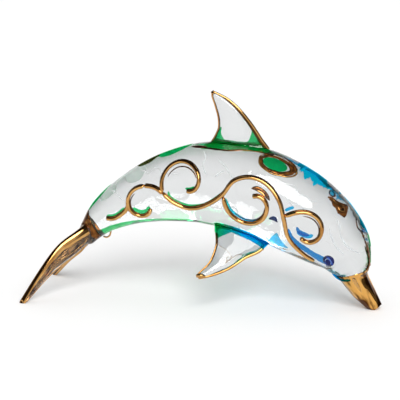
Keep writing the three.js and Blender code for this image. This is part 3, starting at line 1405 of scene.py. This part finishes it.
@dataclass
class ColourWork:
    """The green and blue glass sealed in the body, the fired gold among it, and painted light and shade:
    glowing threads, a dark wedge and a gold curl.
    """

    palette: Palette
    skin: Skin

    def patch(self, name: str, look: Look, *stops: Triple, **shape: float) -> None:
        """Lays one sheet: its name, its finish, its stops and what differs from a plain Patch."""
        Patch(name, stops, **shape).build(self.skin, look)

    def streak(self, name: str, look: Look, *stops: Triple, **shape: float) -> None:
        """Draws one cane: its name, its finish, its stops and what differs from a plain Streak."""
        Streak(name, stops, **shape).build(self.skin, look)

    def belly(self) -> None:
        """The strip just inside the belly, thick at the tail and thin at the throat."""
        self.patch(
            "belly_strip", self.palette.turning, (0.055, 112, 218), (0.110, 123, 210), (0.180, 134, 202),
            (0.245, 144, 196), (0.356, 148, 192), (0.446, 151, 190), (0.526, 152, 190), (0.600, 154, 192),
            (0.700, 155, 194))

    def edges(self) -> None:
        """The colour along the back, the forehead and the throat."""
        green, pale_blue = self.palette.green, self.palette.pale_blue
        self.patch("tail_edge", green, (0.118, -8, 24), (0.145, -14, 27), (0.168, -12, 23), (0.192, -6, 4),
                   depth=ON_SKIN)
        self.patch("olive_edge", self.palette.olive, (0.250, 2, 8), (0.258, -4, 19), (0.272, -6, 21),
                   (0.284, -6, 10), depth=ON_SKIN)
        self.patch("back_edge", green, (0.283, -8, 10), (0.292, -14, 20), (0.304, -16, 22), (0.318, -16, 17),
                   (0.330, -12, 4), depth=ON_SKIN)
        self.patch("forehead_edge", pale_blue, (0.556, -40, -10), (0.585, -44, -6), (0.604, -44, 0),
                   (0.620, -44, 12), (0.634, -40, 8), (0.648, -30, -4), ragged=3.0, depth=ON_SKIN)
        self.patch("brow_edge", green, (0.646, -30, 0), (0.660, -34, 5), (0.680, -28, 0), depth=ON_SKIN)
        self.patch("back_patch", pale_blue, (0.466, -10, 6), (0.476, -12, 19), (0.487, -12, 26),
                   (0.498, -12, 23), (0.510, -12, 22), (0.528, -12, 17), (0.548, -10, 4), ragged=9.0,
                   depth=ON_SKIN)
        self.streak("throat_colour", self.palette.blue, (0.728, 164, 0.6), (0.744, 150, 1.3),
                    (0.759, 132, 1.3), (0.771, 110, 0.9), (0.777, 96, 0.5), depth=0.0)

    def flank(self) -> None:
        """The colour at the flipper's root, over the stem and by the eye."""
        for side in (LEFT, RIGHT):
            self.flipper_root(side)
        self.patch("cyan_wedge", self.palette.cyan, (0.482, 139, 143), (0.490, 116, 139), (0.497, 121, 140),
                   (0.505, 126, 139), (0.516, 131, 138), (0.524, 134, 137), ragged=2.0)
        self.streak("stem_colour", self.palette.blue, (0.504, 101, 0.5), (0.518, 111, 0.9), (0.542, 117, 1.2),
                    (0.580, 120, 1.4), (0.612, 120, 1.8), (0.648, 120, 1.7), ragged=0.2)

    def flipper_root(self, side: int) -> None:
        """The band laid over a flipper's root, where it leaves the body: broad and pointed at the back."""
        form = flipper_form(side)
        point_place, point_width, point_reach = 0.84, 0.22, 0.17
        steps = 200
        inside = 0.03

        def place(share: float, across: float) -> Vector:
            """A point of the band, which starts a little inside the body."""
            angle = -side * math.radians(between(8, 174, share))
            shares = (i / steps for i in range(steps))
            start = next(at for at in shares if not self.skin.holds(form.ring(at).point(angle)))
            reach = between(0.125, 0.075, share)
            reach += point_reach * max(1 - abs(share - point_place) / point_width, 0)
            return form.ring(start - inside + reach * across).point(angle, 0.1 * MM)

        film(sided("flipper_root", side), 60, 8, place, 0.3 * MM, self.palette.turning)

    def dorsal_heart(self) -> None:
        """The green heart of the dorsal fin's root."""
        form = dorsal_form()
        foot, middle, horns = 0.03, 0.20, 0.27
        rim = 0.9 * MM

        def place(share: float, across: float) -> Vector:
            """A point of the heart, whose upper edge dips between two horns."""
            level = 2 * across - 1
            horn = level * level * (1.15 if level > 0 else 0.9)
            top = middle + horns * horn + sway(0.03, across * 8, 0, 7)
            ring = form.ring(between(foot, top, share))
            bend = sway(0.5 * MM, across * 5, share * 3, 1)
            return ring.centre + ring.first * ((ring.half_first - rim) * level) + ring.second * bend

        film("dorsal_heart", 24, 60, place, 1.3 * MM, self.palette.green)

    def dorsal_base(self) -> None:
        """The green skirt under the dorsal fin, with its dark line and its red-brown spot."""
        self.patch("dorsal_skirt", self.palette.pale_green, (0.338, 4, 12), (0.350, -14, 18),
                   (0.364, -18, 21), (0.380, -18, 21), (0.398, -16, 16), (0.415, -14, 13), (0.428, -10, 10),
                   ragged=3.0)
        self.streak("dorsal_line", self.palette.fired, (0.336, 12, 0.3), (0.345, 18, 0.5), (0.362, 24, 0.5),
                    (0.380, 25, 0.55), (0.396, 19, 0.35), (0.415, 15, 0.4), (0.430, 13, 0.6), (0.434, 4, 0.3),
                    depth=0.1 * MM, half_out=0.2 * MM, ragged=0.5)
        self.streak("dorsal_spot", self.palette.rust, (0.332, 11, 0.4), (0.339, 15, 1.0), (0.347, 18, 0.9),
                    (0.354, 21, 0.3), depth=0.0, half_out=0.2 * MM)

    def leaf(self) -> None:
        """The gilded leaf under the head's right side, with a gold curl on it as a painted highlight, and the
        blue specks over it.
        """
        self.patch("sealed_leaf", self.palette.fired, (0.533, 27, 29), (0.540, 23, 31), (0.550, 21, 35),
                   (0.560, 15, 37), (0.568, 8, 38), (0.574, 16, 37), (0.580, 30, 36), ragged=2.0,
                   depth=0.6 * MM)
        # A gold curl over the dark leaf: a painted highlight.
        self.streak("leaf_curl_painted_highlight", self.palette.gold, (0.541, 27, 0.3), (0.552, 26, 0.45), (0.562, 22, 0.5),
                    (0.568, 27, 0.5), (0.563, 32, 0.4), (0.556, 30, 0.3), depth=0.2 * MM, half_out=0.18 * MM)
        self.patch("speckle", self.palette.cyan, (0.530, -8, 6), (0.540, -12, 14), (0.550, -12, 16),
                   (0.562, -8, 8), ragged=8.0)

    def brow(self) -> None:
        """The dark wandering line down the forehead, with a green and an olive thread beside it."""
        self.streak("brow_line", self.palette.fired, (0.594, 6, 0.2), (0.606, 18, 0.25), (0.618, 25, 0.3),
                    (0.632, 22, 0.5), (0.650, 23, 0.5), (0.666, 22, 0.7), (0.680, 18, 1.1), (0.698, 14, 1.0),
                    (0.716, 9, 1.3), (0.734, 10, 1.0), (0.748, 24, 0.8), (0.762, 34, 0.5), depth=0.3 * MM,
                    ragged=0.9)
        beside = (
            ("brow_thread_green", -9, 0.45, self.palette.green),
            ("brow_thread_olive", 8, 0.4, self.palette.olive),
        )
        for name, shift, half, look in beside:
            self.streak(name, look, (0.664, 22 + shift, half), (0.684, 18 + shift, half * 1.3),
                        (0.706, 14 + shift, half), (0.728, 12 + shift, half * 1.4), (0.748, 24 + shift, half),
                        depth=0.25 * MM, ragged=0.9)

    def ovals(self) -> None:
        """The green oval and the cyan bead, each with its gilded rings."""
        palette = self.palette
        oval = SealedOval(self.skin)
        oval.drop(palette.green)
        oval.ring("ring", 0.8 * MM, 0.72 * MM, 1.5 * MM, palette.fired)
        oval.ring("rim", 1.8 * MM, 0.26 * MM, 3.0 * MM, palette.gold)
        self.streak("oval_tail", palette.fired, (0.424, 12, 0.3), (0.436, 5, 0.4), (0.449, 5, 0.6),
                    (0.460, 11, 0.8), (0.467, 20, 0.9), (0.466, 30, 0.5), ragged=0.4)
        bead = SealedOval(self.skin, "bead", 0.5355, 17.0, 1.5 * MM, 1.35 * MM, 0.6 * MM)
        bead.drop(palette.cyan)
        bead.ring("ring", 0.35 * MM, 0.26 * MM, 0.0, palette.fired)

    def glints(self) -> None:
        """A dark wedge with a gold core inside the third volute, painted shadow with a painted glint, and the
        blue marks by the stem and in the fourth.
        """
        # A dark wedge of fired gilding: painted shadow inside the third volute, with a gold core as a painted
        # glint.
        self.streak("scroll_painted_shadow", self.palette.fired, (0.423, 73, 0.3), (0.430, 71, 0.9), (0.439, 72, 1.0),
                    (0.448, 75, 0.8), (0.455, 79, 0.3), depth=0.3 * MM, half_out=0.2 * MM)
        self.streak("scroll_painted_glint_core", self.palette.gold, (0.431, 73, 0.2), (0.439, 74, 0.4),
                    (0.447, 77, 0.2), depth=0.0, half_out=0.2 * MM)
        self.streak("stem_notch", self.palette.deep_blue, (0.466, 102, 0.3), (0.474, 98, 0.9),
                    (0.482, 101, 0.2))
        self.streak("volute_blue", self.palette.blue, (0.516, 93, 0.4), (0.524, 97, 0.8), (0.535, 97, 0.9),
                    (0.546, 94, 0.5), ragged=0.2)

    def threads(self) -> None:
        """Fine wavy threads of glowing milky glass under the skin: painted light for the bright wavy lines in
        the clear glass.
        """
        for i, run in enumerate(PAINTED_LIGHT_THREADS):
            stops = [(along, turn, 0.16 + 0.12 * (j % 2)) for j, (along, turn) in enumerate(run)]
            self.streak(f"thread_{i}", self.palette.milky, *stops, depth=0.55 * MM, half_out=0.17 * MM)

    def build(self) -> None:
        """Builds all of it."""
        self.belly()
        self.edges()
        self.flank()
        self.dorsal_heart()
        self.dorsal_base()
        self.leaf()
        self.brow()
        self.ovals()
        self.glints()
        self.threads()


# The stage


@dataclass
class Studio:
    """Pale floor, soft light and the camera.

    Fields:
        azimuth, elevation: where the camera stands.
        target, view_width: the middle and the width of what it sees.
        lens, sensor: its focal length and its sensor in millimetres.
        ceiling, ends: how far up and how far along X the surround turns dark, from a start to its darkest.
        end_darkness: how dark the ends become.
        diffuse_share: how much of the surround lights dull surfaces, so that the sun's shadow shows.
        sun_from, sun_spread, sun_power: the sun's direction, its angle and its strength.
    """

    azimuth: float = math.radians(12.3)
    elevation: float = math.radians(13.7)
    target: Triple = (-2.2 * MM, 0, 39.65 * MM)
    view_width: float = 155.6 * MM
    lens: float = 180.0
    sensor: float = 36.0
    ceiling: Pair = (0.22, 0.45)
    ends: Pair = (0.62, 0.8)
    end_darkness: float = 0.9
    diffuse_share: float = 0.66
    sun_from: Triple = (0.30, -0.70, 0.65)
    sun_spread: float = math.radians(34)
    sun_power: float = 2.3

    def camera(self) -> None:
        """The camera at the photograph's angle, with a long lens."""
        data = bpy.data.cameras.new("camera")
        data.lens = self.lens
        data.sensor_width = self.sensor
        data.clip_start = 0.01
        back = Vector((
            math.sin(self.azimuth) * math.cos(self.elevation),
            -math.cos(self.azimuth) * math.cos(self.elevation),
            math.sin(self.elevation),
        ))
        camera = in_scene("camera", data)
        camera.location = Vector(self.target) + back * (self.view_width * self.lens / self.sensor)
        camera.rotation_euler = back.to_track_quat("Z", "Y").to_euler()
        bpy.context.scene.camera = camera

    def floor(self) -> None:
        """The pale floor that it stands on."""
        mesh = bmesh.new()
        bmesh.ops.create_circle(mesh, cap_ends=True, segments=96, radius=6.0)
        data = mesh_data("floor", mesh)
        nodes = MaterialNodes(
            "pale_floor", Base_Color=(0.95, 0.95, 0.95, 1), Roughness=0.6, Specular_IOR_Level=0.2)
        data.materials.append(nodes.material)
        in_scene("floor", data)

    def sky(self) -> None:
        """A white surround whose dark ceiling and ends show only in mirror reflections, as in gilding."""
        world = bpy.data.worlds.new("surround")
        world.use_nodes = True
        nodes = Nodes(world.node_tree)
        white, ceiling_brown = (1, 1, 1, 1), (0.015, 0.010, 0.008, 1)
        places = nodes.add("SeparateXYZ", {0: nodes.add("TexCoord", {}).outputs["Generated"]}).outputs
        ceiling = nodes.spread(places["Z"], *self.ceiling)
        ends = nodes.spread(nodes.maths("ABSOLUTE", places["X"]), *self.ends, 0.0, self.end_darkness)
        path = nodes.add("LightPath", {}).outputs
        mirror = nodes.maths("MULTIPLY", path["Is Reflection Ray"], path["Is Glossy Ray"])
        dark = nodes.maths("MULTIPLY", mirror, nodes.maths("MAXIMUM", ceiling, ends))
        background = world.node_tree.nodes["Background"].inputs
        nodes.fill(background["Color"], nodes.mixed(dark, white, ceiling_brown))
        strength = nodes.spread(path["Is Diffuse Ray"], 0.0, 1.0, 1.0, self.diffuse_share)
        nodes.fill(background["Strength"], strength)
        bpy.context.scene.world = world

    def sun(self) -> None:
        """A broad far light, which casts one soft shadow."""
        data = bpy.data.lights.new("key", "SUN")
        data.angle = self.sun_spread
        data.energy = self.sun_power
        sun = in_scene("key", data)
        sun.rotation_euler = Vector(self.sun_from).to_track_quat("Z", "Y").to_euler()

    def build(self) -> None:
        """Sets the whole stage."""
        bpy.context.scene.view_settings.view_transform = "Standard"
        self.camera()
        self.floor()
        self.sky()
        self.sun()


def main() -> None:
    """Builds the figurine and its stage."""
    logging.basicConfig(level=logging.INFO, format="%(name)s: %(message)s")
    Studio().build()
    palette = Palette()
    skin = Skin()
    GlassBody().build(palette.clear)
    for side in (LEFT, RIGHT):
        ScrollTrail(side, skin).build(palette)
        eye = Eye(side, skin)
        eye.bead(palette.eye)
        eye.swirl(palette.eye_painted_highlight)
    GildedRims(palette, skin).build()
    ColourWork(palette, skin).build()


if __name__ == "__main__":
    main()
